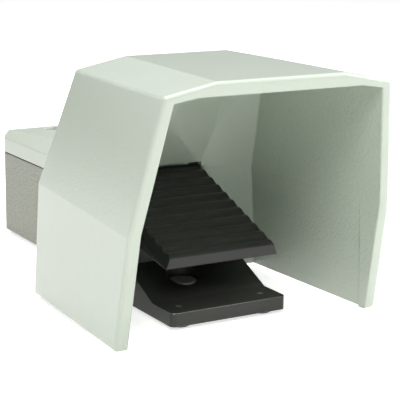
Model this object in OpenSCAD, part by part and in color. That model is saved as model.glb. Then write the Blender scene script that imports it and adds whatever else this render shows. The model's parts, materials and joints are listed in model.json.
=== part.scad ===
// Industrial foot switch: a sprung tread pedal on a cast base, a sealed switch housing
// behind it and a faceted protective hood over the foot space.
// Millimetres. +Z is up and the hood opens towards -Y. The feet stand on Z = 0, and the
// origin is under the middle of the whole part. Inside the modules Y is counted from the
// front edge of the base plate and Z from its underside.

/* [Front casting] */
// Width of the tread base and its ramp
base_w = 72.7; // [70:0.1:76]
// Thickness of the flat front plate
plate_t = 7.7; // [6.4:0.2:8]
// Length of the flat front plate
plate_l = 22.0; // [18:0.2:24]
// Floor length of the ramp behind the plate
ramp_l = 32.2; // [30:0.1:35]
// Angle of the ramp
ramp_angle = 23.7; // [22:0.1:25]
// Whole length of the front casting
base_l = 97; // [95:0.5:99]
// Height of the shoulder behind the ramp, below the pedal's skirts
saddle_h = 29; // [28:0.2:30]
// Height of the wall that bolts to the switch housing
bulkhead_h = 50.5; // [50:0.5:53]
// Wall thickness of the castings
cast_wall = 4; // [3.5:0.1:4.5]
// Radius of the upright front corners
corner_r = 3; // [2:0.25:5]

/* [Pedal] */
// How far each side of the pedal stands inside the side of the base
pedal_inset = 1.1; // [0.5:0.1:1.5]
// Length of the tread along its slope
pedal_l = 89.9; // [88:0.1:91]
// Slope of the tread at rest
pedal_slope = 19.9; // [19.2:0.1:20.4]
// Distance of the pedal's front face behind the base's front edge
pedal_setback = 8.5; // [7:0.1:10]
// Height of the tread's front edge
pedal_front_z = 36; // [35.4:0.1:36.6]
// Height of the pedal's front face
pedal_face_h = 6.2; // [5.5:0.1:7]
// Thickness of the tread plate
tread_t = 4.5; // [4:0.1:5]
// Thickness of the side skirts
skirt_t = 3.2; // [2.8:0.1:3.6]
// Angle at which the lower edge of the skirts rises
skirt_slope = 9.1; // [7:0.1:10]
// Bevel of the skirts, from the upright
bevel_angle = 20; // [14:1:26]
// Number of cross ribs
rib_count = 10; // [6:1:10]
// Distance between rib crests
rib_pitch = 8.6; // [8:0.1:9]
// Place of the first crest behind the front edge, in rib distances
rib_start = 0.3; // [0.25:0.05:0.6]
// Height of the crests above the grooves
rib_h = 1.2; // [0.8:0.1:1.6]

/* [Pivot] */
// Distance of the pivot ahead of the bulkhead's rear face
pivot_setback = 11; // [10.5:0.1:12]
// Depth of the pivot below the tread surface
pivot_drop = 16; // [15.5:0.1:17]
// Radius of the pivot shaft
shaft_r = 4; // [3.5:0.1:4.5]
// Wall of the pivot bushes
bush_wall = 1.5; // [1:0.1:2]
// Thickness of the bush flanges
bush_flange = 1.2; // [1:0.1:1.4]
// Radius of the lugs round the pivot
lug_r = 9; // [8.5:0.1:9.3]
// Radial running clearance of the shaft
running_gap = 0.05; // [0.02:0.01:0.08]
// Largest turn of the pedal
press_angle = 8; // [6:0.5:8]

/* [Switch housing] */
// Width of the switch housing
housing_w = 61.6; // [60:0.2:63]
// Length of the switch housing
housing_l = 145.3; // [142:0.1:148]
// Height of the housing's underside above the base plate's underside
housing_lift = 1; // [0.5:0.1:1.5]
// Height of the housing's rim
rim_z = 53.4; // [53:0.2:55]
// Wall thickness of the housing
housing_wall = 3.5; // [3:0.1:4]
// Thickness of the gasket under the cover
gasket_t = 0.8; // [0.5:0.1:1.2]
// Height at which the cover's side walls fold inwards
cover_fold_z = 63.6; // [62:0.2:65]
// Steepness of the cover's slanted sides
cover_side_angle = 52.4; // [48:0.2:60]
// Height of the cover's rear edge
cover_rear_z = 68.3; // [67.6:0.1:69.4]
// Angle at which the cover's top rises towards the hood
cover_rise = 3.6; // [3:0.1:3.8]
// Wall thickness of the cover
cover_wall = 3; // [2.5:0.1:3.5]
// Radius of the tapped cable entry
entry_r = 9.2; // [8:0.1:10]
// Height of the cable entry's centre
entry_z = 26; // [24:0.5:28]

/* [Hood] */
// Width of the hood across the foot of its rim
hood_w = 161.2; // [158:0.1:164]
// Width at the fold in each side
waist_w = 156; // [153:0.1:158]
// Width at the shoulders
shoulder_w = 130.9; // [128:0.1:134]
// Width of the flat crown
crown_w = 71.2; // [66:0.1:76]
// Height of the fold in each side
waist_z = 62.8; // [60:0.2:66]
// Height of the shoulders
shoulder_z = 132.5; // [130:0.1:134]
// Height of the crown
hood_h = 138.4; // [137:0.1:141]
// How far the foot of the rim stands ahead of the base plate
rim_reach = 21.9; // [19:0.1:25]
// Forward lean of the rim
rim_lean = 10.8; // [8:0.1:13]
// Inward taper of the lower sides and the shoulders towards the rear
hood_draft = 3.2; // [2.8:0.1:3.4]
// Inward taper of the upper sides, which makes the fold rise towards the rear
upper_draft = 2.95; // [2.7:0.05:3.1]
// Rear edge of the crown
crown_rear_y = 62; // [60.5:0.1:63]
// Lean of the middle rear face
rear_lean = 25.4; // [24.8:0.1:26]
// Rear end of the side folds
fold_rear_y = 90.2; // [89:0.1:91.5]
// Sweep of the outer rear faces
rear_sweep = 9.1; // [8:0.1:10]
// Lean of the upper outer rear faces
upper_rear_lean = 23.7; // [23:0.1:24.2]
// Lean of the lower outer rear faces
lower_rear_lean = 2.2; // [1:0.1:3]
// Height at which the corner facets start on the middle rear face
corner_facet_z = 91.5; // [87:0.5:96]
// Wall thickness of the hood
hood_wall = 3.8; // [3.5:0.1:4.3]
// Thickness of the lip inside the rim, at the foot of the sides
lip_foot_t = 6.9; // [6.2:0.1:7.5]
// Wall thickness behind the lip, at the foot of the sides
cavity_foot_t = 5; // [4.5:0.1:5.6]
// Wall thickness at the fold in the sides, where the lip runs out
lip_waist_t = 6.2; // [5.6:0.1:6.8]
// Wall thickness at the shoulders
lip_shoulder_t = 5; // [4.5:0.1:5.8]
// Thickness of the lip along the top
lip_top_t = 7.4; // [6:0.1:8]
// Width of the flat part of the lip along the top
lip_crown_w = 92.8; // [88:0.2:98]
// Where the lip ends behind the base plate's front edge, negative being ahead of it
lip_y = -16.5; // [-19:0.1:-14]
// Inward taper of the inner sides towards the rear
inner_draft = 2.2; // [1.9:0.1:2.5]
// Rounding of the hood's outer edges
hood_round = 2; // [1.5:0.1:2.5]
// Gap between the pedal and the opening in the hood's rear
gate_gap = 1.2; // [1.1:0.1:1.6]

/* [Feet and fixing plug] */
// Height of the feet below the base plate
foot_h = 2.3; // [2:0.1:3]
// Radius of the feet
foot_r = 7; // [6.2:0.1:8]
// Distance of the front feet from the base's sides
foot_side_inset = 10.2; // [9:0.1:12]
// Distance of the front feet behind the base's front edge
foot_front_y = 10.8; // [10:0.1:13]
// Distance of the rear feet ahead of the housing's rear face
foot_rear_inset = 12.5; // [12:0.1:20]
// Distance of the rear feet from the middle
foot_rear_x = 17.5; // [16:0.1:19]
// Radius of the plug over the floor-fixing hole in the ramp
plug_r = 8.3; // [7.5:0.1:9]
// Sideways place of the fixing hole
plug_x = -7.3; // [-10:0.1:10]
// Place of the fixing hole behind the base's front edge
plug_y = 40.5; // [39:0.1:42]
// Height of the plug's face
plug_z = 12.8; // [12.4:0.1:13.4]

/* [Switch element] */
// Width of the switch block
block_w = 32; // [30:0.5:34]
// Length of the switch block
block_l = 38; // [36:0.5:42]
// Height of the switch block
block_h = 34; // [32:0.5:36]
// Width across the block's terminal ledges
ledge_w = 50; // [48:0.5:51]
// Height of the push rod's axis
rod_z = 28; // [27:0.2:29]
// Radius of the push rod
rod_r = 3.5; // [3:0.1:4]

/* [Hidden] */
$fn = 64;

over = 1;              // overshoot of a cut
touch_gap = 0.3;       // between parts that move past each other
thread_gap = 0.1;      // round a screw in its thread
slip_gap = 0.2;        // round a part that is slid in

// Screws: thread radius, head radius and head height
m3 = [1.5, 2.9, 1.8];
m4 = [2, 3.8, 2.6];
m5 = [2.5, 4.2, 4.6];

// Front casting
ramp_y = plate_l + ramp_l;
ramp_z = plate_t + ramp_l * tan(ramp_angle);
function ramp_height(y) = plate_t + (y - plate_l) * tan(ramp_angle);

// Pedal
pedal_rear_y = pedal_setback + pedal_l * cos(pedal_slope);
pedal_rear_z = pedal_front_z + pedal_l * sin(pedal_slope);
function tread_height(y) = pedal_front_z + (y - pedal_setback) * tan(pedal_slope);
tread_drop = tread_t / cos(pedal_slope);
pedal_w = base_w - 2 * pedal_inset;
// a rib and a groove are equal arcs that run into each other
rib_r = (pow(rib_pitch / 4, 2) + pow(rib_h / 2, 2)) / rib_h;
pedal_inner_w = pedal_w - 2 * skirt_t;
pivot_y = base_l - pivot_setback;
pivot_z = tread_height(pivot_y) - pivot_drop;
bush_r = shaft_r + running_gap + bush_wall;
cheek_t = 5.5;
tower_w = pedal_inner_w - 2 * (bush_flange + touch_gap);
clip_t = 0.8;
clip_r = shaft_r + 2.6;
clip_neck_r = shaft_r - 0.8;
shaft_end = 0.5;
shaft_l = pedal_w + 2 * (touch_gap + clip_t + shaft_end);
hub_w = 16;
hub_r = shaft_r + 2.6;
skirt_lug_r = shaft_r + 2.5;
tail_w = 12;
tail_t = 6;
tail_back = 2.3;       // rear face of the tail behind the pivot
tail_end_z = rod_z - rod_r - 1.5;

// Return spring
spring_y = pivot_y - 17;
spring_r = 7.1;
spring_wire = 1.8;
spring_top_z = pivot_z + 0.6;
spring_pin_r = 4.5;
spring_pin_h = 4;

// Stop: a rubber edging on the cross wall, under the tread
edging_t = 1.2;
edging_r = cast_wall / 2 + edging_t;
edging_l = 3.4;        // how far its sides reach down the wall
edging_w = tower_w - 2 * (cheek_t + thread_gap);
stop_y = ramp_y + cast_wall / 2;
// Height of the tread's underside over a place, with the pedal pressed
function pressed_under(y) = pivot_z
    + (pivot_drop - tread_drop) * cos(pedal_slope) / cos(pedal_slope + press_angle)
    - (pivot_y - y) * tan(pedal_slope + press_angle);
riser_h = pressed_under(stop_y) - (edging_r + touch_gap) / cos(pedal_slope + press_angle);

// Plug over the floor-fixing hole
plug_t = 1.2;
plug_gap = 0.7;        // round the plug's face, in its recess
fixing_r = 3;
fixing_head_r = 5.4;
fixing_head_h = 5;

// Switch housing
housing_y = base_l;
housing_rear_y = housing_y + housing_l;
floor_z = housing_lift + housing_wall;
front_wall = 4;
housing_r = 3;
cover_z = rim_z + gasket_t;
function cover_height(y) = cover_rear_z + (housing_rear_y - y) * tan(cover_rise);
cover_rear_chamfer = 1.5;
well_r = 7.5;
well_floor_z = cover_z + 5;
well_wall = 2;
cover_screw_places = [[0, housing_rear_y - 14.5], [-12.5, housing_y + 9],
    [12.5, housing_y + 9]];
column_r = 4.5;
cover_gap = 0.9;       // between the cover's front and the hood
cover_screw_l = 14;
entry_boss_r = entry_r + 4.5;
entry_boss_l = 6.5;

// Screws between the two castings, at the inside of the housing's front wall
joint_screw_x = 22.5;
joint_screw_z = [10, pivot_z - bush_r - m5[0] - 0.6];
joint_boss_r = 5.5;
joint_screw_l = 14;

// Hood fixing
gate_w = pedal_w + 2 * gate_gap;
gate_z = pedal_rear_z + gate_gap;
flange_t = 4;
flange_l = 30;
flange_z = [6, gate_z];
hood_screw_y = housing_y + 15;
hood_screw_z = [18, 45];
hood_pad_r = 7;
hood_screw_l = 16;

// Feet
foot_front_x = base_w / 2 - foot_side_inset;
foot_places = [[-foot_front_x, foot_front_y, 0], [foot_front_x, foot_front_y, 0],
    [-foot_rear_x, housing_rear_y - foot_rear_inset, housing_lift],
    [foot_rear_x, housing_rear_y - foot_rear_inset, housing_lift]];
foot_seat = 1.2;       // depth of the recess that holds a foot
foot_boss_z = plate_t;

// Switch element
rod_travel = (pivot_z - rod_z) * press_angle * PI / 180;
rod_tip_y = pivot_y + tail_back + touch_gap;
rod_gap = 2;           // between the push rod and the block, bridged by the plunger
rod_dome_r = 8;
rod_dome_l = 5;
rod_collar_t = 2;
boot_l = 4.2;
boot_r = 7.4;
boot_rim_r = 9.5;
boot_rim_t = 1.5;
block_y = housing_y + 18;
block_z = floor_z + 7.5;
block_wall = 3.5;
ledge_z = rod_z;
lid_t = 2.5;
bridge_y = block_y + 12;
bridge_t = 2;
strip_t = 1.2;
strip_h = 6;
rivet_h = 1;
rivet_r = 1.5;
rivet_drop = 1;        // rivets above the rod's centre line
strip_end = 2;         // strip beyond the rivet
contact_x = 8.5;
strip_y = [bridge_y - touch_gap - rivet_h - strip_t,
    bridge_y + bridge_t + rod_travel + touch_gap + rivet_h];
terminal_x = ledge_w / 2 - 4.5;
terminal_screw_l = 8;
terminal_pad_l = 6.8;
plunger_nose_l = 5;
block_screw_x = ledge_w / 2 - 4;
block_screw_y = [block_y + 3.5, block_y + block_l - 3.5];
collar_y = bridge_y + bridge_t + 8;
collar_t = 2;
collar_r = rod_r + 2.5;

// Hood: unit normal and distance of each face, right-hand side
function unit(v) = v / norm(v);
function face(n, p) = [unit(n), unit(n) * p];
function side_face(run, rise, x, z, draft = hood_draft) =
    face([rise, rise * tan(draft), run], [x, 0, z]);
function sweep_face(lean, p) =
    face([sin(rear_sweep) * cos(lean), cos(rear_sweep) * cos(lean), sin(lean)], p);

// Common point of three faces, each moved inwards by its inset
function meet(a, b, c, s, t, u) =
    let (bc = cross(b[0], c[0]), ca = cross(c[0], a[0]), ab = cross(a[0], b[0]))
    ((a[1] - s) * bc + (b[1] - t) * ca + (c[1] - u) * ab) / (a[0] * bc);

floor_face = face([0, 0, -1], [0, 0, 0.3]);
rim_face = face([0, -cos(rim_lean), -sin(rim_lean)], [0, -rim_reach, 0]);
middle_rear = face([0, cos(rear_lean), sin(rear_lean)], [0, crown_rear_y, hood_h]);
// the different tapers make the fold in the sides rise towards the rear
fold_rear_rise = 2.85;
fold_end = [waist_w / 2 - fold_rear_y * tan(hood_draft), fold_rear_y,
    waist_z + fold_rear_rise];
upper_rear = sweep_face(upper_rear_lean, fold_end);
lower_rear = sweep_face(lower_rear_lean, fold_end);
facet_level = face([0, 0, 1], [0, 0, corner_facet_z]);
gate_side = face([1, 0, 0], [gate_w / 2 - 6, 0, 0]);

// Faces of the sides and top, from half widths at four heights
function side_faces(foot, waist, shoulder, crown, shoulder_at, crown_at,
        low = hood_draft, high = upper_draft) = [
    ["lower", side_face(foot - waist, waist_z, waist, waist_z, low)],
    ["upper", side_face(waist - shoulder, shoulder_at - waist_z, waist, waist_z, high)],
    ["slope", side_face(shoulder - crown, crown_at - shoulder_at, crown, crown_at)],
    ["top", face([0, 0, 1], [0, 0, crown_at])]];
shell_faces = side_faces(hood_w / 2, waist_w / 2, shoulder_w / 2, crown_w / 2,
    shoulder_z, hood_h);
lip_shoulder_drop = 3.8;   // inner shoulders below the outer ones
lip_faces = side_faces(hood_w / 2 - lip_foot_t, waist_w / 2 - lip_waist_t,
    shoulder_w / 2 - lip_shoulder_t, lip_crown_w / 2, shoulder_z - lip_shoulder_drop,
    hood_h - lip_top_t, inner_draft, inner_draft);
cavity_faces = side_faces(hood_w / 2 - cavity_foot_t, waist_w / 2 - lip_waist_t,
    shoulder_w / 2 - lip_shoulder_t, crown_w / 2, shoulder_z - lip_shoulder_drop,
    hood_h - hood_wall, inner_draft, inner_draft);

// The corners of the right-hand half, each by the three faces that meet there
hood_corners = [
    ["floor", "rim", "lower"], ["rim", "lower", "upper"], ["rim", "upper", "slope"],
    ["rim", "slope", "top"], ["slope", "top", "middle"], ["upper", "slope", "upper_rear"],
    ["level", "middle", "upper_rear"], ["lower", "upper", "upper_rear"],
    ["lower", "floor", "lower_rear"], ["middle", "upper_rear", "lower_rear"],
    ["floor", "lower_rear", "gate"]];
other_faces = [["floor", floor_face], ["rim", rim_face], ["middle", middle_rear],
    ["upper_rear", upper_rear], ["lower_rear", lower_rear], ["level", facet_level],
    ["gate", gate_side]];
function face_of(name, sides) =
    [for (f = concat(sides, other_faces)) if (f[0] == name) f[1]][0];
function is_side(name) = len([for (f = shell_faces) if (f[0] == name) 1]) > 0;
function is_open(name) = name == "floor" || name == "rim";
function is_guide(name) = name == "level" || name == "gate";

// How far a face moves inwards: a cavity runs out through the open faces
function inset(name, side_t, rear_t) = is_guide(name) ? 0
    : is_open(name) ? (rear_t > 0 ? -12 : 0) : is_side(name) ? side_t : rear_t;
function hood_corner(c, sides, side_t, rear_t, r) =
    meet(face_of(c[0], sides), face_of(c[1], sides), face_of(c[2], sides),
        inset(c[0], side_t, rear_t) + r, inset(c[1], side_t, rear_t) + r,
        inset(c[2], side_t, rear_t) + r);
function hood_rear_at(z) = crown_rear_y + (hood_h - z) * tan(rear_lean);

cover_front_z = cover_height(hood_rear_at(cover_rear_z));

// Middle of the whole part, front to back
hood_front_y =
    hood_corner(["rim", "slope", "top"], shell_faces, 0, 0, hood_round)[1] - hood_round;
frame_y = -(hood_front_y + housing_rear_y) / 2;

module placed() translate([0, frame_y, foot_h]) children();
module mirrored() {
    children();
    mirror([1, 0, 0]) children();
}

// A side view, Y and Z, drawn out along X and centred on it
module across(w) rotate([90, 0, 90]) linear_extrude(w, center = true) children();
// Round bars along X and Y, from their first end
module bar_x(r, l) rotate([0, 90, 0]) cylinder(r = r, h = l);
module bar_y(r, l) rotate([-90, 0, 0]) cylinder(r = r, h = l);
// A slab with round upright corners
module slab(x, y, h, r) {
    translate([-x / 2 + r, 0, 0]) cube([x - 2 * r, y, h]);
    translate([-x / 2, r, 0]) cube([x, y - 2 * r, h]);
    for (sx = [-1, 1], cy = [r, y - r]) translate([sx * (x / 2 - r), cy, 0])
        cylinder(r = r, h = h);
}

// A cap screw that points up along Z, with the underside of its head at Z = 0
module cap_screw(size, l) {
    cylinder(r = size[0], h = l);
    difference() {
        translate([0, 0, -size[2]]) cylinder(r = size[1], h = size[2]);
        translate([0, 0, -size[2] - over])
            cylinder(r = size[0] * 0.95, h = size[2] * 0.5 + over, $fn = 6);
    }
}

// A slotted pan-head screw that points down along Z
module pan_screw(size, l) {
    translate([0, 0, -l]) cylinder(r = size[0], h = l);
    difference() {
        cylinder(r1 = size[1], r2 = size[1] * 0.8, h = size[2]);
        translate([-size[1] - over, -0.4, size[2] * 0.55])
            cube([2 * (size[1] + over), 0.8, size[2]]);
    }
}

// Round wire wound up from Z = 0 to h, with a closed turn at each end
module coil(r, wire, h, turns) {
    steps = 16;
    sides = 8;
    last = turns * steps;
    closed = 1.15 * wire;
    lead = (h - wire - 2 * closed) / (turns - 2);
    function rise(t) = t < 1 ? t * closed
        : t > turns - 1 ? h - wire - (turns - t) * closed : closed + (t - 1) * lead;
    function at(i, k) = let (a = 360 * i / steps, b = 360 * k / sides,
        s = r + wire / 2 * cos(b))
        [s * cos(a), s * sin(a), wire / 2 + rise(i / steps) + wire / 2 * sin(b)];
    polyhedron([for (i = [0:last], k = [0:sides - 1]) at(i, k)],
        [[for (k = [0:sides - 1]) k],
         [for (k = [sides - 1:-1:0]) last * sides + k],
         for (i = [0:last - 1], k = [0:sides - 1]) let (n = (k + 1) % sides)
            [i * sides + n, i * sides + k, (i + 1) * sides + k, (i + 1) * sides + n]]);
}

// ---- Front casting ----------------------------------------------------------------

module casting_plan() {
    translate([-base_w / 2, corner_r, -over]) cube([base_w, base_l, bulkhead_h * 2]);
    translate([-base_w / 2 + corner_r, 0, -over])
        cube([base_w - 2 * corner_r, base_l, bulkhead_h * 2]);
    for (s = [-1, 1]) translate([s * (base_w / 2 - corner_r), corner_r, -over])
        cylinder(r = corner_r, h = bulkhead_h * 2);
}

module casting_hollow() {
    roof = cast_wall / cos(ramp_angle);
    start = plate_l + 3;
    across(base_w - 2 * cast_wall) polygon([[start, -over],
        [start, ramp_height(start) - roof],
        [ramp_y - cast_wall / 2, ramp_height(ramp_y - cast_wall / 2) - roof],
        [ramp_y + cast_wall, saddle_h - cast_wall],
        [base_l - cast_wall, saddle_h - cast_wall], [base_l - cast_wall, -over]]);
}

module pivot_cheek() {
    translate([tower_w / 2 - cheek_t / 2, 0, 0]) across(cheek_t) {
        polygon([[ramp_y, saddle_h - over], [ramp_y, riser_h], [ramp_y + 5, riser_h],
            [pivot_y - lug_r * 0.75, pivot_z + lug_r * 0.66], [pivot_y, pivot_z],
            [pivot_y + lug_r * 0.7, pivot_z], [base_l, bulkhead_h - 6],
            [base_l, saddle_h - over]]);
        translate([pivot_y, pivot_z]) circle(lug_r);
    }
}

module front_casting() placed() color("#26261f") difference() {
    union() {
        difference() {
            intersection() {
                across(base_w) polygon([[0, 0], [0, plate_t], [plate_l, plate_t],
                    [ramp_y, ramp_z], [ramp_y, saddle_h], [base_l, saddle_h],
                    [base_l, 0]]);
                casting_plan();
            }
            casting_hollow();
        }
        // cross wall, cheeks and bulkhead
        translate([-tower_w / 2, ramp_y, saddle_h - over])
            cube([tower_w, cast_wall, riser_h - saddle_h + over]);
        mirrored() pivot_cheek();
        translate([-tower_w / 2, base_l - cast_wall, saddle_h - over])
            cube([tower_w, cast_wall, bulkhead_h - saddle_h + over]);
        // bosses for the housing's screws
        for (x = [-1, 1] * joint_screw_x, z = joint_screw_z)
            translate([x, base_l - cast_wall - 5, z]) bar_y(joint_boss_r, 5 + over);
        // seat of the spring, and the post of the floor-fixing hole
        translate([0, spring_y, saddle_h - over])
            cylinder(r = spring_pin_r, h = spring_pin_h + over);
        intersection() {
            translate([plug_x, plug_y, 0]) cylinder(r = plug_r + 4, h = ramp_z);
            across(base_w) polygon([[plate_l, 0], [plate_l, plate_t - over],
                [ramp_y, ramp_z - over], [ramp_y, 0]]);
        }
    }
    // slot for the pedal's tail
    translate([-tail_w, pivot_y - tail_w / 2 - 2, saddle_h - cast_wall - over])
        cube([2 * tail_w, base_l - cast_wall - pivot_y + tail_w / 2 + 2, cast_wall + 2 * over]);
    // bores: bushes, push rod and its boot, screws, feet and floor fixing
    translate([-base_w, pivot_y, pivot_z]) bar_x(bush_r, 2 * base_w);
    translate([0, base_l - cast_wall - over, rod_z])
        bar_y(rod_r + 4.5, cast_wall + 2 * over);
    for (x = [-1, 1] * joint_screw_x, z = joint_screw_z)
        translate([x, base_l - joint_screw_l + front_wall - thread_gap, z])
            bar_y(m5[0] + thread_gap, joint_screw_l);
    for (p = foot_places) if (p[1] < base_l) translate([p[0], p[1], 0]) {
        translate([0, 0, -over]) cylinder(r = foot_r + slip_gap, h = foot_seat + over);
        cylinder(r = m3[0] + thread_gap, h = plate_t + over);
    }
    translate([plug_x, plug_y, 0]) {
        translate([0, 0, plug_z - plug_t]) cylinder(r = plug_r + plug_gap, h = ramp_z);
        translate([0, 0, plug_z - plug_t - fixing_head_h])
            cylinder(r = fixing_head_r, h = fixing_head_h + over);
        translate([0, 0, -over]) cylinder(r = fixing_r, h = plug_z);
    }
}

module rubber_feet() placed() color("#1c1c1a") for (p = foot_places) translate(p) {
    drop = foot_h + p[2];
    difference() {
        union() {
            translate([0, 0, -drop]) cylinder(r1 = foot_r - 0.8, r2 = foot_r, h = 0.8);
            translate([0, 0, -drop + 0.8]) cylinder(r = foot_r, h = drop + foot_seat - 0.8);
        }
        translate([0, 0, -drop - over]) cylinder(r = m3[1] + slip_gap, h = m3[2] + over);
        translate([0, 0, -drop]) cylinder(r = m3[0] + slip_gap, h = drop + 2 * foot_seat);
    }
}

module foot_screws() placed() color("silver") for (p = foot_places)
    translate([p[0], p[1], m3[2] - foot_h])
        cap_screw(m3, foot_boss_z - 0.3 + foot_h - m3[2]);

module fixing_plug() placed() color("#3a3a36") translate([plug_x, plug_y, plug_z]) {
    translate([0, 0, -0.4]) cylinder(r1 = plug_r, r2 = plug_r - 0.4, h = 0.4);
    translate([0, 0, -plug_t]) cylinder(r = plug_r, h = plug_t - 0.4);
    translate([0, 0, -fixing_head_h])
        cylinder(r = fixing_head_r - thread_gap, h = fixing_head_h - plug_t + over / 2);
}

module stop_edging() placed() color("#1c1c1a") difference() {
    translate([-edging_w / 2, stop_y, riser_h]) {
        bar_x(edging_r, edging_w);
        translate([0, -edging_r, -edging_l]) cube([edging_w, 2 * edging_r, edging_l]);
    }
    translate([-edging_w, ramp_y - thread_gap, riser_h - 2 * edging_l])
        cube([2 * edging_w, cast_wall + 2 * thread_gap, 2 * edging_l]);
}

// ---- Pedal ------------------------------------------------------------------------

// Runs children in the tread's own frame: Y along the slope, Z out of the tread
module on_tread() translate([0, pedal_setback, pedal_front_z])
    rotate([pedal_slope, 0, 0]) children();

module pedal_outline(extra) polygon([
    [pedal_setback + 0.3, pedal_front_z - pedal_face_h],
    [pedal_setback, pedal_front_z], [pedal_setback, pedal_front_z + extra],
    [pedal_rear_y, pedal_rear_z + extra],
    [pedal_rear_y, pedal_front_z - pedal_face_h
        + (pedal_rear_y - pedal_setback) * tan(skirt_slope)]]);

// Cross-section that gives the bevelled sides, drawn along the slope
module pedal_section() {
    h = pedal_face_h;
    // the bevel runs on above the tread, to take in the ribs
    top = pedal_w / 2 - 1.3 * h * tan(bevel_angle);
    on_tread() translate([0, -pedal_l, 0]) rotate([-90, 0, 0])
        linear_extrude(3 * pedal_l) polygon([[-pedal_w / 2, 12 * h], [-pedal_w / 2, h],
            [-top, -0.3 * h], [top, -0.3 * h], [pedal_w / 2, h], [pedal_w / 2, 12 * h]]);
}

module tread_ribs() on_tread() for (i = [0:rib_count - 1])
    translate([-pedal_w / 2, rib_pitch * (i + rib_start), rib_h / 2 - rib_r])
        bar_x(rib_r, pedal_w);
module tread_grooves() on_tread() for (i = [0:rib_count])
    translate([-pedal_w, rib_pitch * (i + rib_start - 0.5), rib_r - rib_h / 2])
        bar_x(rib_r, 2 * pedal_w);

module pedal() placed() color("#1f1f1a") difference() {
    union() {
        difference() {
            intersection() {
                union() {
                    across(pedal_w) pedal_outline(0);
                    tread_ribs();
                }
                pedal_section();
                across(pedal_w) pedal_outline(2 * rib_h);
            }
            across(pedal_inner_w) polygon([
                [pedal_setback + skirt_t, 0],
                [pedal_setback + skirt_t,
                    tread_height(pedal_setback + skirt_t) - tread_drop],
                [pedal_rear_y + over, tread_height(pedal_rear_y + over) - tread_drop],
                [pedal_rear_y + over, 0]]);
        }
        // lugs on the skirts
        for (s = [-1, 1]) translate([s * (pedal_w - skirt_t) / 2, 0, 0]) across(skirt_t)
            translate([pivot_y, pivot_z]) circle(skirt_lug_r);
        // hub, its web and the tail that works the push rod
        translate([-hub_w / 2, pivot_y, pivot_z]) bar_x(hub_r, hub_w);
        across(tail_w) polygon([
            [pivot_y - hub_r, pivot_z],
            [pivot_y - hub_r - 6, tread_height(pivot_y - hub_r - 6) - tread_drop + over],
            [pedal_rear_y - 2, tread_height(pedal_rear_y - 2) - tread_drop + over],
            [pivot_y + hub_r - 1, pivot_z]]);
        across(tail_w) polygon([
            [pivot_y + tail_back - tail_t, tail_end_z + 1],
            [pivot_y + tail_back - tail_t, pivot_z], [pivot_y + tail_back, pivot_z],
            [pivot_y + tail_back, tail_end_z], [pivot_y + tail_back - tail_t + 1,
            tail_end_z]]);
        // spring cup
        intersection() {
            translate([0, spring_y, spring_top_z]) cylinder(r = spring_r + 2, h = 20);
            across(pedal_w) polygon([[pedal_setback, 0],
                [pedal_setback, tread_height(pedal_setback) - 1],
                [pedal_rear_y, tread_height(pedal_rear_y) - 1], [pedal_rear_y, 0]]);
        }
        translate([0, spring_y, spring_top_z - spring_pin_h])
            cylinder(r = spring_pin_r, h = spring_pin_h + over);
    }
    tread_grooves();
    translate([-pedal_w, pivot_y, pivot_z]) bar_x(shaft_r + running_gap, 2 * pedal_w);
}

module pivot_shaft() placed() color("silver") translate([0, pivot_y, pivot_z])
    difference() {
        translate([-shaft_l / 2, 0, 0]) bar_x(shaft_r, shaft_l);
        for (s = [-1, 1]) translate([s * (pedal_w + 2 * touch_gap + clip_t) / 2
            - clip_t / 2 - slip_gap / 2, 0, 0]) rotate([0, 90, 0]) difference() {
                cylinder(r = shaft_r + over, h = clip_t + slip_gap);
                translate([0, 0, -over])
                    cylinder(r = clip_neck_r, h = clip_t + slip_gap + 2 * over);
            }
    }

module shaft_clips() placed() color("gray") for (s = [-1, 1])
    translate([s * (pedal_w + 2 * touch_gap + clip_t) / 2 - clip_t / 2, pivot_y, pivot_z])
    difference() {
        bar_x(clip_r, clip_t);
        translate([-over, 0, 0]) bar_x(clip_neck_r + thread_gap, clip_t + 2 * over);
        translate([-over, -clip_neck_r * 0.8, -clip_r - over])
            cube([clip_t + 2 * over, 2 * clip_neck_r * 0.8, clip_r]);
    }

module pivot_bushes() placed() color("#b08d57") mirrored()
    translate([tower_w / 2, pivot_y, pivot_z]) difference() {
        union() {
            translate([-cheek_t, 0, 0]) bar_x(bush_r - thread_gap / 2, cheek_t + over / 2);
            bar_x(bush_r + 2, bush_flange);
        }
        translate([-cheek_t - over, 0, 0]) bar_x(shaft_r + running_gap, 2 * cheek_t);
    }

module return_spring() placed() color("silver")
    translate([0, spring_y, saddle_h + touch_gap])
    coil(spring_r, spring_wire, spring_top_z - saddle_h - 2 * touch_gap, 6);

// ---- Hood -------------------------------------------------------------------------

// Solid form of the hood, its faces moved inwards and its edges rounded
module hood_form(sides, side_t, rear_t, r) hull() for (c = hood_corners, s = [1, -1]) {
    p = hood_corner(c, sides, side_t, rear_t, r);
    translate([s * p[0], p[1], p[2]]) sphere(r, $fn = 32);
}

// Opening in the rear for the pedal's rear end, its top bevelled like the pedal
module gate_cut() {
    w = gate_w / 2;
    bevel = pedal_face_h * tan(bevel_angle);
    // the cut runs out behind the hood's rearmost corner
    back = max([for (c = hood_corners) hood_corner(c, shell_faces, 0, 0, 0)[1]]) + over;
    translate([0, max(back, housing_y + hood_wall), 0]) rotate([90, 0, 0])
        linear_extrude(max(back, housing_y + hood_wall) - crown_rear_y - hood_wall)
        polygon([[-w, -over], [-w, gate_z - pedal_face_h - 1], [-w + bevel, gate_z],
            [w - bevel, gate_z], [w, gate_z - pedal_face_h - 1], [w, -over]]);
}

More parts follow.
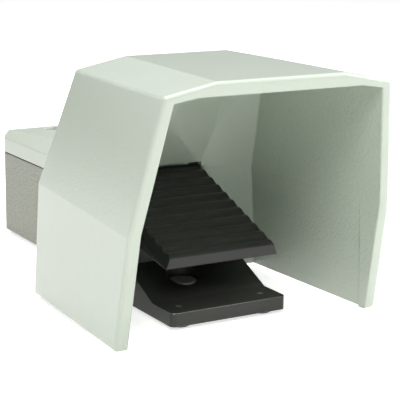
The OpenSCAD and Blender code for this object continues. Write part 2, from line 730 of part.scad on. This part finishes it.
module hood_flange() {
    rear_y = housing_y - hood_wall;
    translate([gate_w / 2 + flange_t / 2, 0, 0]) across(flange_t) polygon([
        [rear_y - 1.5, flange_z[0]], [rear_y - 1.5, flange_z[1]],
        [rear_y + flange_l - 10, flange_z[1]], [rear_y + flange_l, flange_z[1] - 10],
        [rear_y + flange_l, flange_z[0] + 6], [rear_y + flange_l - 6, flange_z[0]]]);
}

module hood() placed() color("#d3ddd1") difference() {
    union() {
        difference() {
            hood_form(shell_faces, 0, 0, hood_round);
            intersection() {
                hood_form(cavity_faces, 0, hood_wall, 0.8);
                translate([-hood_w, lip_y, -hood_h]) cube([2 * hood_w, 200, 3 * hood_h]);
            }
            intersection() {
                hood_form(lip_faces, 0, hood_wall, 0.8);
                translate([-hood_w, lip_y + over - 200, -hood_h])
                    cube([2 * hood_w, 200, 3 * hood_h]);
            }
            gate_cut();
        }
        mirrored() hood_flange();
    }
    for (s = [-1, 1], z = hood_screw_z) translate([s * (gate_w / 2 + flange_t / 2),
        hood_screw_y, z]) translate([-flange_t, 0, 0]) bar_x(m5[0] + slip_gap, 2 * flange_t);
}

module hood_screws() placed() color("silver") for (s = [-1, 1], z = hood_screw_z)
    translate([s * (gate_w / 2 + flange_t), hood_screw_y, z])
    rotate([0, -s * 90, 0]) cap_screw(m5, hood_screw_l);

// ---- Switch housing and cover -----------------------------------------------------

module switch_housing() placed() color("#a3a59b") difference() {
    union() {
        difference() {
            translate([0, housing_y, housing_lift])
                slab(housing_w, housing_l, rim_z - housing_lift, housing_r);
            translate([-housing_w / 2 + housing_wall, housing_y + front_wall, floor_z])
                cube([housing_w - 2 * housing_wall,
                    housing_l - front_wall - housing_wall, rim_z]);
        }
        // pads for the hood's flanges
        for (s = [-1, 1], z = hood_screw_z) {
            pad_l = (gate_w - housing_w) / 2;
            translate([s > 0 ? housing_w / 2 - over : -gate_w / 2, hood_screw_y, z])
                bar_x(hood_pad_r, pad_l + over);
        }
        // columns for the cover screws, and the lug on the rear wall
        for (i = [1, 2]) translate([cover_screw_places[i][0], cover_screw_places[i][1],
            housing_lift + over]) cylinder(r = column_r, h = rim_z - housing_lift - over);
        translate([-column_r - 1, cover_screw_places[0][1] - column_r - 1, rim_z - 12])
            cube([2 * column_r + 2,
                housing_rear_y - over - cover_screw_places[0][1] + column_r + 1, 12]);
        // boss behind the cable entry, feet bosses, pillars and earth boss
        translate([0, housing_rear_y - housing_wall - entry_boss_l, entry_z])
            bar_y(entry_boss_r, entry_boss_l + over);
        for (p = foot_places) if (p[1] > base_l) translate([p[0], p[1], p[2]])
            cylinder(r = column_r, h = foot_boss_z + 1);
        for (x = [-1, 1] * block_screw_x, y = block_screw_y)
            translate([x, y, housing_lift + over])
                cylinder(r = column_r, h = block_z - housing_lift - over);
        translate([-16, block_y + block_l + 22, housing_lift + over])
            cylinder(r = 6, h = floor_z + 4 - housing_lift - over);
    }
    // push rod, boot flange and the screws of the two castings
    translate([0, housing_y - over, rod_z]) bar_y(rod_r + thread_gap, 2 * front_wall);
    translate([0, housing_y - over, rod_z]) bar_y(boot_rim_r + slip_gap, boot_rim_t + over);
    for (x = [-1, 1] * joint_screw_x, z = joint_screw_z)
        translate([x, housing_y - over, z]) bar_y(m5[0] + slip_gap, 2 * front_wall);
    // hood screws, cover screws, block screws and earth screw
    for (s = [-1, 1], z = hood_screw_z)
        translate([s * (gate_w / 2 + over), hood_screw_y, z]) rotate([0, -s * 90, 0])
            cylinder(r = m5[0] + thread_gap, h = hood_screw_l);
    for (p = cover_screw_places) translate([p[0], p[1], rim_z - 11])
        cylinder(r = m4[0] + thread_gap, h = 12);
    for (x = [-1, 1] * block_screw_x, y = block_screw_y)
        translate([x, y, floor_z]) cylinder(r = m3[0] + thread_gap, h = 20);
    translate([-16, block_y + block_l + 22, floor_z])
        cylinder(r = m4[0] + thread_gap, h = 20);
    // cable entry
    translate([0, housing_rear_y - housing_wall - entry_boss_l - over, entry_z])
        bar_y(entry_r, housing_wall + entry_boss_l + 2 * over);
    // recesses of the feet
    for (p = foot_places) if (p[1] > base_l) translate([p[0], p[1], p[2]]) {
        translate([0, 0, -over]) cylinder(r = foot_r + slip_gap, h = foot_seat + over);
        cylinder(r = m3[0] + thread_gap, h = foot_boss_z - 0.2);
    }
}

module casting_screws() placed() color("silver")
    for (x = [-1, 1] * joint_screw_x, z = joint_screw_z)
        translate([x, housing_y + front_wall, z]) rotate([90, 0, 0])
            cap_screw(m5, joint_screw_l);

module cover_gasket() placed() color("#20201e") translate([0, housing_y, rim_z])
    difference() {
        slab(housing_w - 0.6, housing_l, gasket_t, housing_r);
        translate([-housing_w / 2 + housing_wall - 0.3, front_wall - 0.3, -over])
            cube([housing_w - 2 * housing_wall + 0.6,
                housing_l - front_wall - housing_wall + 0.6, gasket_t + 2 * over]);
    }

// Outside or inside form of the cover, its walls moved in by t
module cover_form(t) {
    fold = cover_fold_z;
    lean = tan(cover_side_angle);
    peak = 100;
    slant = t / sin(cover_side_angle);
    intersection() {
        translate([0, housing_y - 30, 0]) rotate([-90, 0, 0]) mirror([0, 1, 0])
            linear_extrude(housing_l + 60) polygon([
                [-housing_w / 2 + t, cover_z - (t > 0 ? over : 0)],
                [-housing_w / 2 + t, fold],
                [-housing_w / 2 + (peak - fold) / lean + slant, peak],
                [housing_w / 2 - (peak - fold) / lean - slant, peak],
                [housing_w / 2 - t, fold],
                [housing_w / 2 - t, cover_z - (t > 0 ? over : 0)]]);
        across(housing_w) polygon([
            [housing_y + 0.5 + t, cover_z - (t > 0 ? over : 0)],
            [housing_y + 0.5 + t, gate_z],
            [hood_rear_at(gate_z) + cover_gap + t, gate_z],
            [hood_rear_at(cover_front_z) + cover_gap + t, cover_front_z - t],
            [housing_rear_y - cover_rear_chamfer - t,
                cover_height(housing_rear_y - cover_rear_chamfer) - t],
            [housing_rear_y - t, fold], [housing_rear_y - t,
                cover_z - (t > 0 ? over : 0)]]);
    }
}

module top_cover() placed() color("#d8e2d6") difference() {
    union() {
        difference() {
            intersection() {
                cover_form(0);
                translate([0, housing_y - 20, 0])
                    slab(housing_w, housing_l + 20, 120, housing_r);
            }
            cover_form(cover_wall);
        }
        intersection() {
            for (p = cover_screw_places) translate([p[0], p[1], cover_z])
                cylinder(r = well_r + well_wall, h = rim_z);
            cover_form(0);
        }
    }
    for (p = cover_screw_places) translate([p[0], p[1], cover_z - over]) {
        cylinder(r = m4[0] + slip_gap, h = rim_z);
        translate([0, 0, well_floor_z - cover_z + over]) cylinder(r = well_r, h = rim_z);
    }
}

module cover_screws() placed() color("silver") for (p = cover_screw_places)
    translate([p[0], p[1], well_floor_z]) pan_screw(m4, cover_screw_l);

// ---- Switch element ---------------------------------------------------------------

module rod_boot() placed() color("#262622") translate([0, housing_y, rod_z])
    rotate([-90, 0, 0]) rotate_extrude() polygon([
        [rod_r + touch_gap, -boot_l], [rod_r + 1.6, -boot_l], [rod_r + 1.9, -2.6],
        [boot_r - 0.2, -1.4], [boot_r, 0], [boot_rim_r, 0], [boot_rim_r, boot_rim_t],
        [rod_r + touch_gap + 0.6, boot_rim_t], [rod_r + touch_gap + 0.6, 0.4],
        [boot_r - 1.6, 0], [boot_r - 1.8, -0.8], [rod_r + 0.8, -1.8],
        [rod_r + touch_gap, -2.4]]);

module push_rod() placed() color("silver") translate([0, rod_tip_y, rod_z]) {
    rotate([-90, 0, 0]) intersection() {
        cylinder(r = rod_r, h = block_y - rod_gap - rod_tip_y);
        translate([0, 0, rod_dome_r]) sphere(rod_dome_r);
    }
    translate([0, rod_dome_l, 0])
        bar_y(rod_r, block_y - rod_gap - rod_tip_y - rod_dome_l);
    // collar that holds the rod in the housing
    translate([0, housing_y + front_wall + touch_gap - rod_tip_y, 0])
        bar_y(rod_r + 2, rod_collar_t);
}

module switch_block() placed() color("#3c4a3a") translate([0, block_y, 0]) difference() {
    union() {
        translate([-block_w / 2, 0, block_z]) cube([block_w, block_l, block_h]);
        translate([-ledge_w / 2, 0, block_z]) cube([ledge_w, block_l, ledge_z - block_z]);
    }
    translate([-block_w / 2 + block_wall, block_wall, block_z + block_wall])
        cube([block_w - 2 * block_wall, block_l - 2 * block_wall, block_h]);
    translate([0, -over, rod_z]) bar_y(rod_r + running_gap, block_wall + 2 * over);
    // slots of the fixed contacts
    for (y = strip_y) translate([-block_w / 2 - over, y - block_y - thread_gap, ledge_z])
        cube([block_w + 2 * over, strip_t + 2 * thread_gap, strip_h / 2 + thread_gap]);
    // mounting and terminal screws
    for (x = [-1, 1] * block_screw_x, y = block_screw_y)
        translate([x, y - block_y, block_z - over])
            cylinder(r = m3[0] + slip_gap, h = block_h);
    for (x = [-1, 1] * terminal_x, y = strip_y)
        translate([x, y - block_y + strip_t / 2, ledge_z - terminal_screw_l])
            cylinder(r = m3[0] + thread_gap, h = terminal_screw_l + over);
}

module block_lid() placed() color("#4b5a48")
    translate([-block_w / 2, block_y, block_z + block_h]) {
        cube([block_w, block_l, lid_t]);
        translate([block_wall + slip_gap, block_wall + slip_gap, -1.5])
            cube([block_w - 2 * (block_wall + slip_gap),
                block_l - 2 * (block_wall + slip_gap), 1.5 + lid_t / 2]);
    }

module block_screws() placed() color("silver")
    for (x = [-1, 1] * block_screw_x, y = block_screw_y)
        translate([x, y, ledge_z]) pan_screw(m3, ledge_z - floor_z - 1);

module switch_plunger() placed() color("#d8d2c0") translate([0, block_y, rod_z]) {
    translate([0, touch_gap - rod_gap, 0])
        bar_y(rod_r, collar_y - block_y + rod_gap - touch_gap);
    translate([0, collar_y - block_y, 0]) bar_y(collar_r, collar_t);
    translate([0, collar_y - block_y + collar_t - over, 0]) bar_y(rod_r - 1,
        plunger_nose_l + over);
}

module contact_bridge() placed() color("#b87333") translate([0, bridge_y, rod_z])
    difference() {
        translate([-contact_x - 2.5, 0, -strip_h / 2]) cube([2 * contact_x + 5, bridge_t,
            strip_h + 2]);
        translate([0, -over, 0]) bar_y(rod_r + thread_gap, bridge_t + 2 * over);
    }

module fixed_contacts() placed() color("#c9a24a") mirrored() for (k = [0, 1]) {
    y = strip_y[k];
    toward = k == 0 ? strip_t : -rivet_h;
    translate([contact_x - strip_end, y, ledge_z]) cube([terminal_x - m3[1] - touch_gap
        - contact_x + strip_end, strip_t, strip_h / 2]);
    translate([contact_x, y + toward, rod_z + rivet_drop]) bar_y(rivet_r, rivet_h);
    translate([block_w / 2 + touch_gap, y + strip_t / 2 - terminal_pad_l / 2, ledge_z])
        difference() {
        cube([ledge_w / 2 - block_w / 2 - touch_gap - 0.5, terminal_pad_l, strip_t]);
        translate([terminal_x - block_w / 2 - touch_gap, terminal_pad_l / 2, -over])
            cylinder(r = m3[0] + thread_gap, h = strip_t + 2 * over);
    }
}

module terminal_screws() placed() color("silver")
    for (x = [-1, 1] * terminal_x, y = strip_y)
        translate([x, y + strip_t / 2, ledge_z + strip_t]) pan_screw(m3, terminal_screw_l);

module plunger_spring() placed() color("silver") {
    start_y = collar_y + collar_t + touch_gap;
    end_y = block_y + block_l - block_wall - touch_gap;
    translate([0, start_y, rod_z]) rotate([-90, 0, 0])
        coil(rod_r + 0.6, 0.9, end_y - start_y, 6);
}

module earth_screw() placed() color("#b9a24a")
    translate([-16, block_y + block_l + 22, floor_z + 4]) {
        difference() {
            cylinder(r = 5, h = 1);
            translate([0, 0, -over]) cylinder(r = m4[0] + thread_gap, h = 3);
        }
        translate([0, 0, 1]) pan_screw(m4, 4.8);
    }

front_casting();
rubber_feet();
foot_screws();
fixing_plug();
stop_edging();
pedal();
pivot_shaft();
shaft_clips();
pivot_bushes();
return_spring();
hood();
hood_screws();
switch_housing();
casting_screws();
cover_gasket();
top_cover();
cover_screws();
rod_boot();
push_rod();
switch_block();
block_lid();
block_screws();
switch_plunger();
contact_bridge();
fixed_contacts();
terminal_screws();
plunger_spring();
earth_screw();
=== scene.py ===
"""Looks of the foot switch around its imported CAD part. Metres, +Z up, the hood opens to -Y."""
import json
import math

import bmesh
import bpy
from mathutils import Matrix, Vector

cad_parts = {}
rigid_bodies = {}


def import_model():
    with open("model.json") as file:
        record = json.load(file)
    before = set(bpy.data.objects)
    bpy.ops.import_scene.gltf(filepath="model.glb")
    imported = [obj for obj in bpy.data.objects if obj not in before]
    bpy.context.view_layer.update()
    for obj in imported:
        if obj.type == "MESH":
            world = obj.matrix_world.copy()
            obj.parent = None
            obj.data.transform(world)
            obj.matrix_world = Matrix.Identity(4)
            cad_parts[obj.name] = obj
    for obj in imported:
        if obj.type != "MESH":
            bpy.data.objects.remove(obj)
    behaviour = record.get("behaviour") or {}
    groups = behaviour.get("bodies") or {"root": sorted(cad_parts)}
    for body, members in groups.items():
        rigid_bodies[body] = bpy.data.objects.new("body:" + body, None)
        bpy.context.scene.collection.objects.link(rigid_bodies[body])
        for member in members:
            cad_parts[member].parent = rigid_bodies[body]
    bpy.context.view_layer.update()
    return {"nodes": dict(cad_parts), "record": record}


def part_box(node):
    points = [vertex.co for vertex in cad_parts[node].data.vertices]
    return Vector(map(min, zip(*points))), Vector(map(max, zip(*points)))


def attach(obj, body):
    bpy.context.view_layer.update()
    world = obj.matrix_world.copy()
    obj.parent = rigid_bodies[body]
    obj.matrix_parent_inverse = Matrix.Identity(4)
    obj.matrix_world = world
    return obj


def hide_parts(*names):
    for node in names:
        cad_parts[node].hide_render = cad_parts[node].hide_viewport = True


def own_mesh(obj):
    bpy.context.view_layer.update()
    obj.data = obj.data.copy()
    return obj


for o in list(bpy.data.objects):
    bpy.data.objects.remove(o)
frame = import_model()
scene = bpy.context.scene


# ---- Shader helpers -------------------------------------------------------------------

class Val:
    """A shader socket that can be used in sums."""

    def __init__(self, tree, socket):
        self.tree, self.socket = tree, socket

    def math(self, op, *others):
        n = self.tree.nodes.new("ShaderNodeMath")
        n.operation = op
        for i, v in enumerate((self,) + others):
            feed(self.tree, n.inputs[i], v)
        return Val(self.tree, n.outputs[0])

    def __add__(self, o): return self.math("ADD", o)
    def __sub__(self, o): return self.math("SUBTRACT", o)
    def __mul__(self, o): return self.math("MULTIPLY", o)

    def at_least(self, o): return self.math("MAXIMUM", o)

    def rest(self):
        """What is left of 1."""
        return self * -1.0 + 1.0

    def step(self, low, high):
        """0 below low, 1 above high, smooth between."""
        n = self.tree.nodes.new("ShaderNodeMapRange")
        n.interpolation_type = "SMOOTHSTEP"
        feed(self.tree, n.inputs[0], self)
        for i, v in enumerate((low, high, 0.0, 1.0)):
            n.inputs[i + 1].default_value = v
        return Val(self.tree, n.outputs[0])


def feed(tree, socket, v):
    """Links a Val to a socket, or sets a plain value on it."""
    if isinstance(v, Val):
        tree.links.new(v.socket, socket)
    else:
        socket.default_value = v


class Look:
    """One material. node() makes any other node, mix() blends two colours."""

    def __init__(self, name):
        self.mat = bpy.data.materials.new(name)
        self.mat.use_nodes = True
        self.tree = self.mat.node_tree
        self.shader = self.tree.nodes["Principled BSDF"]
        self.place = self.node("ShaderNodeTexCoord", "Object")

    def node(self, kind, out=0, inputs=None, **settings):
        n = self.tree.nodes.new(kind)
        for k, v in settings.items():
            setattr(n, k, v)
        for k, v in (inputs or {}).items():
            feed(self.tree, n.inputs[k], v)
        return Val(self.tree, n.outputs[out])

    def noise(self, scale, detail=2.0, rough=0.5):
        return self.node("ShaderNodeTexNoise", 0, {"Vector": self.place, "Scale": scale,
            "Detail": detail, "Roughness": rough})

    def mix(self, t, a, b):
        n = self.tree.nodes.new("ShaderNodeMix")
        n.data_type = "RGBA"
        for i, v in ((0, t), (6, a), (7, b)):
            feed(self.tree, n.inputs[i], v)
        return Val(self.tree, n.outputs[2])

    def set(self, **values):
        for k, v in values.items():
            feed(self.tree, self.shader.inputs[k.replace("_", " ")], v)


def lin(r, g, b):
    """sRGB 0..255 as a linear colour."""
    return tuple(((c / 255 + 0.055) / 1.055) ** 2.4 if c > 10 else c / 3295
                 for c in (r, g, b)) + (1.0,)


def shade(colour, share):
    """A colour darkened by a share."""
    return tuple(c * (1 - share) for c in colour[:3]) + (1.0,)


# ---- Finishes -----------------------------------------------------------------------------

PATCH_SCALE = 38.0        # broad patches per metre, in tone and in roughness
PATCH_ROUGHNESS = 0.12    # how far the roughness wanders over them
NICK_SCALE = 420.0        # nicks per metre along the worn edges
EDGE_SAMPLES = 6          # samples of each Bevel node
TURN = 0.004              # metres over which bump() goes from one depth to the other
LOOKS = {}


def bump(k, texture, under):
    """Peel or grain as a normal, on top of the normal under it.

    texture is (size, depth), or (size, depth, second depth, point), where the second depth
    is for faces turned towards the point.
    """
    size, depth, *turned = texture
    if turned:
        second, point = turned
        apart = k.node("ShaderNodeVectorMath", 0, {0: k.place, 1: point}, operation="SUBTRACT")
        away = k.node("ShaderNodeVectorMath", "Value",
                      {0: apart, 1: k.node("ShaderNodeNewGeometry", "Normal")},
                      operation="DOT_PRODUCT")
        depth = away.step(-TURN, TURN) * (depth - second) + second
    inputs = {"Height": k.noise(1 / size, 2.0, 0.55) * depth, "Strength": 1.0, "Distance": 1.0}
    if under is not None:
        inputs["Normal"] = under
    return k.node("ShaderNodeBump", 0, inputs)


def bare_edges(k, patches, low, high, reach):
    """1 where an edge is worn bare: there the rounded normal leaves the flat one."""
    flat = k.node("ShaderNodeNewGeometry", "Normal")
    soft = k.node("ShaderNodeBevel", 0, {"Radius": reach}, samples=EDGE_SAMPLES)
    dot = k.node("ShaderNodeVectorMath", "Value", {0: flat, 1: soft}, operation="DOT_PRODUCT")
    rub = dot.rest() * 6.0 + k.noise(NICK_SCALE, 4.0, 0.65) * 0.5 + patches * 0.35
    return rub.step(low, high)


def look(slot, colour, rough, metal=0.0, spec=0.5, coat=0.0, coat_rough=0.1, round_r=0.0,
         mottle=0.06, fleck=None, peel=None, grain=None, worn=None):
    """One finish, kept in LOOKS under its slot. Lengths are in metres.

    round_r rounds the edges. mottle is half the share by which broad patches are darker,
    fleck is (size, share) for fine ones. peel and grain are bumps, as bump() takes them.
    worn is (colour, roughness, metallic, low, high, reach) of the bare edges.
    """
    k = Look(slot)
    patches = k.noise(PATCH_SCALE, 3.0)
    tone = k.mix(patches.step(0.3, 0.75), shade(colour, mottle * 2), colour)
    if fleck:
        size, share = fleck
        tone = k.mix(k.noise(1 / size, 2.0, 0.6).step(0.35, 0.65), shade(colour, share), tone)
    roughness = patches * PATCH_ROUGHNESS + (rough - PATCH_ROUGHNESS / 2)
    metallic = metal
    if worn:
        bare_colour, bare_rough, bare_metal, low, high, reach = worn
        bare = bare_edges(k, patches, low, high, reach)
        tone = k.mix(bare, tone, bare_colour)
        roughness = roughness + bare * (bare_rough - rough)
        metallic = bare * (bare_metal - metal) + metal
    k.set(Base_Color=tone, Roughness=roughness, Metallic=metallic, Specular_IOR_Level=spec,
          Coat_Weight=coat, Coat_Roughness=coat_rough)

    normal = None
    if round_r:
        normal = k.node("ShaderNodeBevel", 0, {"Radius": round_r}, samples=EDGE_SAMPLES)
    for texture in filter(None, (peel, grain)):
        normal = bump(k, texture, normal)
    if normal is not None:
        k.set(Normal=normal)
        if coat:
            k.set(Coat_Normal=normal)
    LOOKS[slot] = k.mat


PEEL_POINT = (0.0, 0.04, 0.06)    # behind the hood, so its rear and the insides of its walls
                                  # and roof have the rougher peel
BARE_METAL = lin(176, 180, 172)
look("hood_paint", lin(204, 214, 200), 0.5, spec=0.3, coat=0.9, coat_rough=0.07,
     round_r=0.0016, mottle=0.01, peel=(0.0016, 0.0001, 0.0005, PEEL_POINT))
look("cover_paint", lin(207, 216, 203), 0.5, spec=0.3, coat=0.7, coat_rough=0.14,
     round_r=0.0012, mottle=0.01, peel=(0.0014, 0.00012))
look("housing_grey", lin(188, 191, 177), 0.5, round_r=0.0008, mottle=0.03,
     fleck=(0.0014, 0.3), grain=(0.0013, 0.0012))
look("casting_black", lin(49, 50, 45), 0.48, round_r=0.0007, grain=(0.0009, 0.0002),
     worn=(BARE_METAL, 0.35, 0.9, 1.0, 1.3, 0.0007))
look("pedal_black", lin(29, 30, 26), 0.42, round_r=0.0009, grain=(0.0007, 0.00002))
look("foot_rubber", lin(30, 30, 29), 0.75, round_r=0.0004, grain=(0.0008, 0.00002))
look("plug_grey", lin(196, 196, 184), 0.5, round_r=0.0004, grain=(0.0012, 0.00006))
look("steel", lin(188, 188, 184), 0.3, metal=1.0, round_r=0.0002)
look("spring_steel", lin(150, 150, 148), 0.3, metal=1.0)
look("bronze", lin(176, 132, 84), 0.4, metal=1.0, round_r=0.0002)
look("contact_brass", lin(196, 160, 90), 0.3, metal=1.0)
look("block_plastic", lin(58, 64, 58), 0.5, round_r=0.0004)
look("plunger_plastic", lin(206, 200, 182), 0.45)

for sub in frame["record"]["subparts"]:
    o = frame["nodes"][sub["node"]]
    o.data.materials.clear()
    o.data.materials.append(LOOKS[sub["material_slot"]])


# ---- Painted shade: dark strips that darken the slots between the hood's flanges and the housing ---

SHADE_STRIP_X = (0.0280, 0.0366)     # from inside the housing's wall to the hood's flange
SHADE_STRIP_SETBACK = 0.0008         # behind the housing's front face
SHADE_STRIP_THICK = 0.0012
SHADE_STRIP_FOOT = 0.004             # above the housing's underside
SHADE_STRIP_RISE = 0.0012            # above the pedal's rear edge


def cuboid(bm, low, high):
    m = Matrix.LocRotScale((Vector(low) + Vector(high)) / 2, None, Vector(high) - Vector(low))
    bmesh.ops.create_cube(bm, size=1.0, matrix=m)


def flange_shade_strips():
    """One dark strip each side, from the hood's flange to the housing, behind the pedal: painted
    shade in the slot.
    """
    bm = bmesh.new()
    _, front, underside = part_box("switch_housing")[0]
    y, bottom = front + SHADE_STRIP_SETBACK, underside + SHADE_STRIP_FOOT
    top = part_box("pedal")[1][2] + SHADE_STRIP_RISE
    for left, right in (SHADE_STRIP_X, (-SHADE_STRIP_X[1], -SHADE_STRIP_X[0])):
        cuboid(bm, (left, y, bottom), (right, y + SHADE_STRIP_THICK, top))
    me = bpy.data.meshes.new("flange_shade_strips")
    bm.to_mesh(me)
    bm.free()
    o = bpy.data.objects.new("flange_shade_strips", me)
    scene.collection.objects.link(o)
    # painted shade: the strips take the rubber's black to darken the slots, they are no seals
    me.materials.append(LOOKS["foot_rubber"])
    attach(o, "base")


flange_shade_strips()


# ---- Springs ------------------------------------------------------------------------------

def coil_spring(node, axis, travel):
    """The wire of a spring as a copy of its node, fixed to the base; the node itself is hidden."""
    o = bpy.data.objects.new(node + "_wire", frame["nodes"][node].data.copy())
    scene.collection.objects.link(o)
    low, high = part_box(node)
    along = axis.index(1)
    length = high[along] - low[along]
    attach(o, "base")
    (length - travel) / length
    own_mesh(o)
    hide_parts(node)


joints = {j["name"]: j for j in frame["record"]["behaviour"]["joints"]}
hinge, slide = joints["pedal_hinge"], joints["rod_slide"]
# the tread presses furthest on the coil's side away from the hinge
arm = hinge["pos_m"][1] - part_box("return_spring")[0][1]
coil_spring("return_spring", (0, 0, 1),
            arm * math.tan(math.radians(hinge["range_deg"][1])))
coil_spring("plunger_spring", (0, 1, 0),
            slide["range_m"][1])


# ---- Rounded edges of the hood --------------------------------------------------------------

def soften(node, width, angle=50.0):
    """Rounds a node's edges that turn by more than the angle."""
    m = frame["nodes"][node].modifiers.new("edges", "BEVEL")
    m.width, m.segments, m.limit_method = width, 3, "ANGLE"
    m.angle_limit, m.harden_normals = math.radians(angle), False


soften("hood", 0.0014)


# ---- Stage ------------------------------------------------------------------------------

FLOOR_COLOUR = (0.88, 0.88, 0.86, 1)
FLOOR_HALF = 6.0
GLOW = 0.72               # what the floor adds where it is seen, so that it shows white
TABLE = (0.5, 1.3)        # the lit table ends between these distances from the middle
ROOM, SKY = 0.15, 0.75    # the room in reflections, at eye level and overhead
FILL = 0.01               # the world's own light on the object
LAMP_AIM = Vector((0, 0, 0.06))


def seen_rays(node):
    """Rays that see the stage itself, and those that come straight from the camera."""
    direct, gloss, through = (node("ShaderNodeLightPath", n) for n in
                              ("Is Camera Ray", "Is Glossy Ray", "Is Transmission Ray"))
    return direct.at_least(gloss).at_least(through), direct


def floor():
    bm = bmesh.new()
    bmesh.ops.create_grid(bm, x_segments=1, y_segments=1, size=FLOOR_HALF)
    me = bpy.data.meshes.new("floor")
    bm.to_mesh(me)
    bm.free()
    o = bpy.data.objects.new("floor", me)
    scene.collection.objects.link(o)
    k = Look("floor_white")
    k.set(Base_Color=FLOOR_COLOUR, Roughness=0.9)
    seen, direct = seen_rays(k.node)
    # off the table, reflections fall on the darker room
    far = k.node("ShaderNodeVectorMath", "Value", {0: k.place}, operation="LENGTH").step(*TABLE)
    glow = k.node("ShaderNodeEmission", 0, {"Color": (1, 1, 1, 1),
        "Strength": direct * GLOW + direct.rest() * (far * (ROOM - GLOW) + GLOW)})
    plain = Val(k.tree, k.shader.outputs[0])
    lit = k.node("ShaderNodeAddShader", 0, {0: plain, 1: glow})
    mixed = k.node("ShaderNodeMixShader", 0, {0: seen, 1: plain, 2: lit})
    k.tree.links.new(mixed.socket, k.tree.nodes["Material Output"].inputs[0])
    me.materials.append(k.mat)


def world():
    w = bpy.data.worlds.new("studio")
    scene.world = w
    w.use_nodes = True
    t = w.node_tree
    background = t.nodes["Background"]
    background.inputs["Color"].default_value = (1, 1, 1, 1)

    def node(kind, out=0):
        return Val(t, t.nodes.new(kind).outputs[out])

    seen, direct = seen_rays(node)
    split = t.nodes.new("ShaderNodeSeparateXYZ")
    feed(t, split.inputs[0], node("ShaderNodeTexCoord", "Generated"))
    # for reflections the room is dark at eye level and bright overhead
    room = Val(t, split.outputs["Z"]).step(0.0, 0.7) * (SKY - ROOM) + ROOM
    feed(t, background.inputs["Strength"], direct + (seen - direct) * room + seen.rest() * FILL)


def lamp(name, place, size, power):
    """A round lamp that looks at the middle of the object."""
    d = bpy.data.lights.new(name, "AREA")
    d.shape, d.size, d.energy = "DISK", size, power
    o = bpy.data.objects.new(name, d)
    o.location = place
    o.rotation_euler = (LAMP_AIM - Vector(place)).to_track_quat("-Z", "Y").to_euler()
    scene.collection.objects.link(o)


def camera(place, azimuth, pitch, roll, lens):
    """A camera that looks along an azimuth from +Y towards +X, pitched down, angles in degrees."""
    d = bpy.data.cameras.new("camera")
    d.sensor_width, d.lens, d.clip_end = 36.0, lens, 30.0
    a, p, r = (math.radians(v) for v in (azimuth, pitch, roll))
    ahead = Vector((math.sin(a) * math.cos(p), math.cos(a) * math.cos(p), -math.sin(p)))
    right = Vector((math.cos(a), -math.sin(a), 0.0))
    up = right.cross(ahead)
    right, up = right * math.cos(r) + up * math.sin(r), up * math.cos(r) - right * math.sin(r)
    o = bpy.data.objects.new("camera", d)
    o.matrix_world = Matrix((right, up, -ahead)).transposed().to_4x4()
    o.location = place
    scene.collection.objects.link(o)
    scene.camera = o


floor()
world()
lamp("key", (-0.7, -1.1, 1.3), 0.9, 18.5)
lamp("top", (0.2, 0.1, 1.6), 1.2, 20)
lamp("right", (1.3, -0.5, 0.8), 0.8, 18)
lamp("rear_left", (-0.9, 1.2, 0.5), 0.9, 3)
camera((-0.38536, -0.71742, 0.23594), azimuth=30.508, pitch=12.930, roll=0.636, lens=126.0)
scene.view_settings.view_transform = "Standard"
